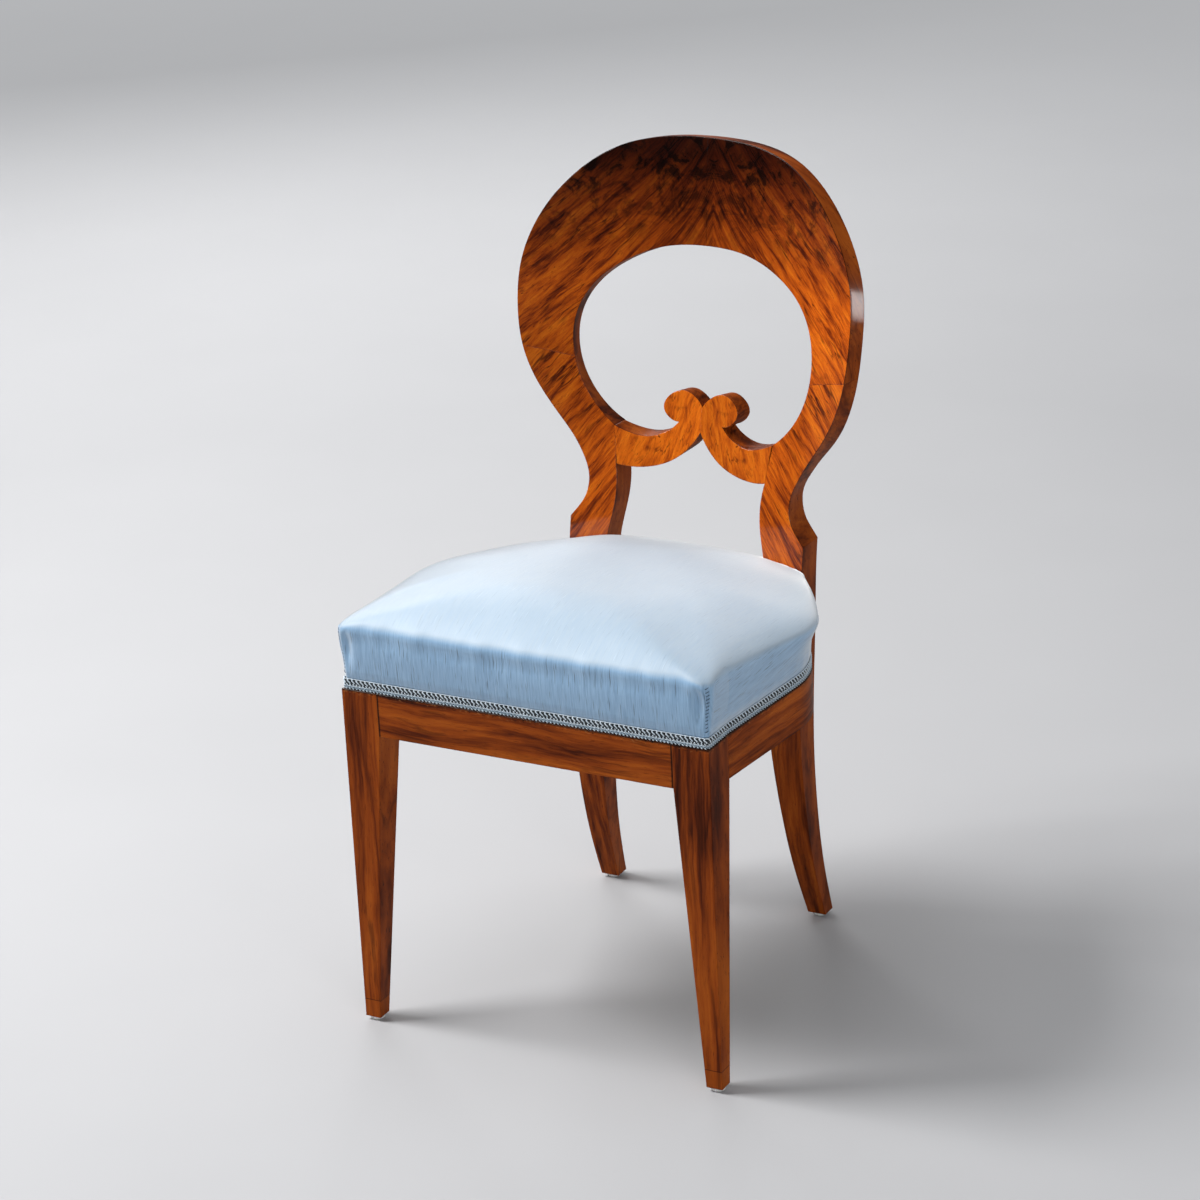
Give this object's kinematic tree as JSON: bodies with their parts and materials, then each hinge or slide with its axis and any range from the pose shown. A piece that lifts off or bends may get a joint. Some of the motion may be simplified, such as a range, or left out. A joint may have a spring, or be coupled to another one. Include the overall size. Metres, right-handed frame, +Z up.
{
  "type": "side chair",
  "caption": "Biedermeier side chair with an open balloon back, paired scrolls, sabre rear legs, tapered front legs and a sprung, braid-trimmed silk seat.",
  "frame": {"origin": "middle of the footprint box, on the floor", "axes": "+Z up, -Y to the front of the seat, +X to the sitter's left, which is the right-hand side seen from the front"},
  "size_m": [0.4882, 0.5216, 0.9212],
  "materials": {
    "frame_wood": "french polished walnut",
    "veneer": "french polished figured walnut veneer",
    "hidden_wood": "unpolished beech",
    "cover": "slubbed silk",
    "braid": "woven gimp braid",
    "stuffing": "stitched hair stuffing in scrim",
    "canvas": "plain hessian",
    "webbing": "woven jute",
    "spring_steel": "coppered spring wire",
    "glide": "moulded white"
  },
  "bodies": {
    "root": {"crest_arch": "frame_wood", "crest_dowels": "hidden_wood", "crosswise_webbing_front": "webbing", "crosswise_webbing_middle": "webbing", "crosswise_webbing_rear": "webbing", "front_braid": "braid", "front_left_corner_block": "hidden_wood", "front_left_glide": "glide", "front_left_leg": "frame_wood", "front_rail": "frame_wood", "front_right_corner_block": "hidden_wood", "front_right_glide": "glide", "front_right_leg": "frame_wood", "left_crest_veneer": "veneer", "left_post_veneer": "veneer", "left_scroll": "frame_wood", "left_scroll_veneer": "veneer", "left_side_rail": "frame_wood", "lengthwise_webbing_left": "webbing", "lengthwise_webbing_middle": "webbing", "lengthwise_webbing_right": "webbing", "rear_braid": "braid", "rear_left_corner_block": "hidden_wood", "rear_left_glide": "glide", "rear_left_post": "frame_wood", "rear_rail": "frame_wood", "rear_right_corner_block": "hidden_wood", "rear_right_glide": "glide", "rear_right_post": "frame_wood", "right_crest_veneer": "veneer", "right_post_veneer": "veneer", "right_scroll": "frame_wood", "right_scroll_veneer": "veneer", "right_side_rail": "frame_wood", "scroll_dowels": "hidden_wood", "seat_cover": "cover", "seat_spring_front_left": "spring_steel", "seat_spring_front_right": "spring_steel", "seat_spring_middle": "spring_steel", "seat_spring_rear_left": "spring_steel", "seat_spring_rear_right": "spring_steel", "seat_stuffing": "stuffing", "spring_canvas": "canvas"}
  },
  "joints": []
}
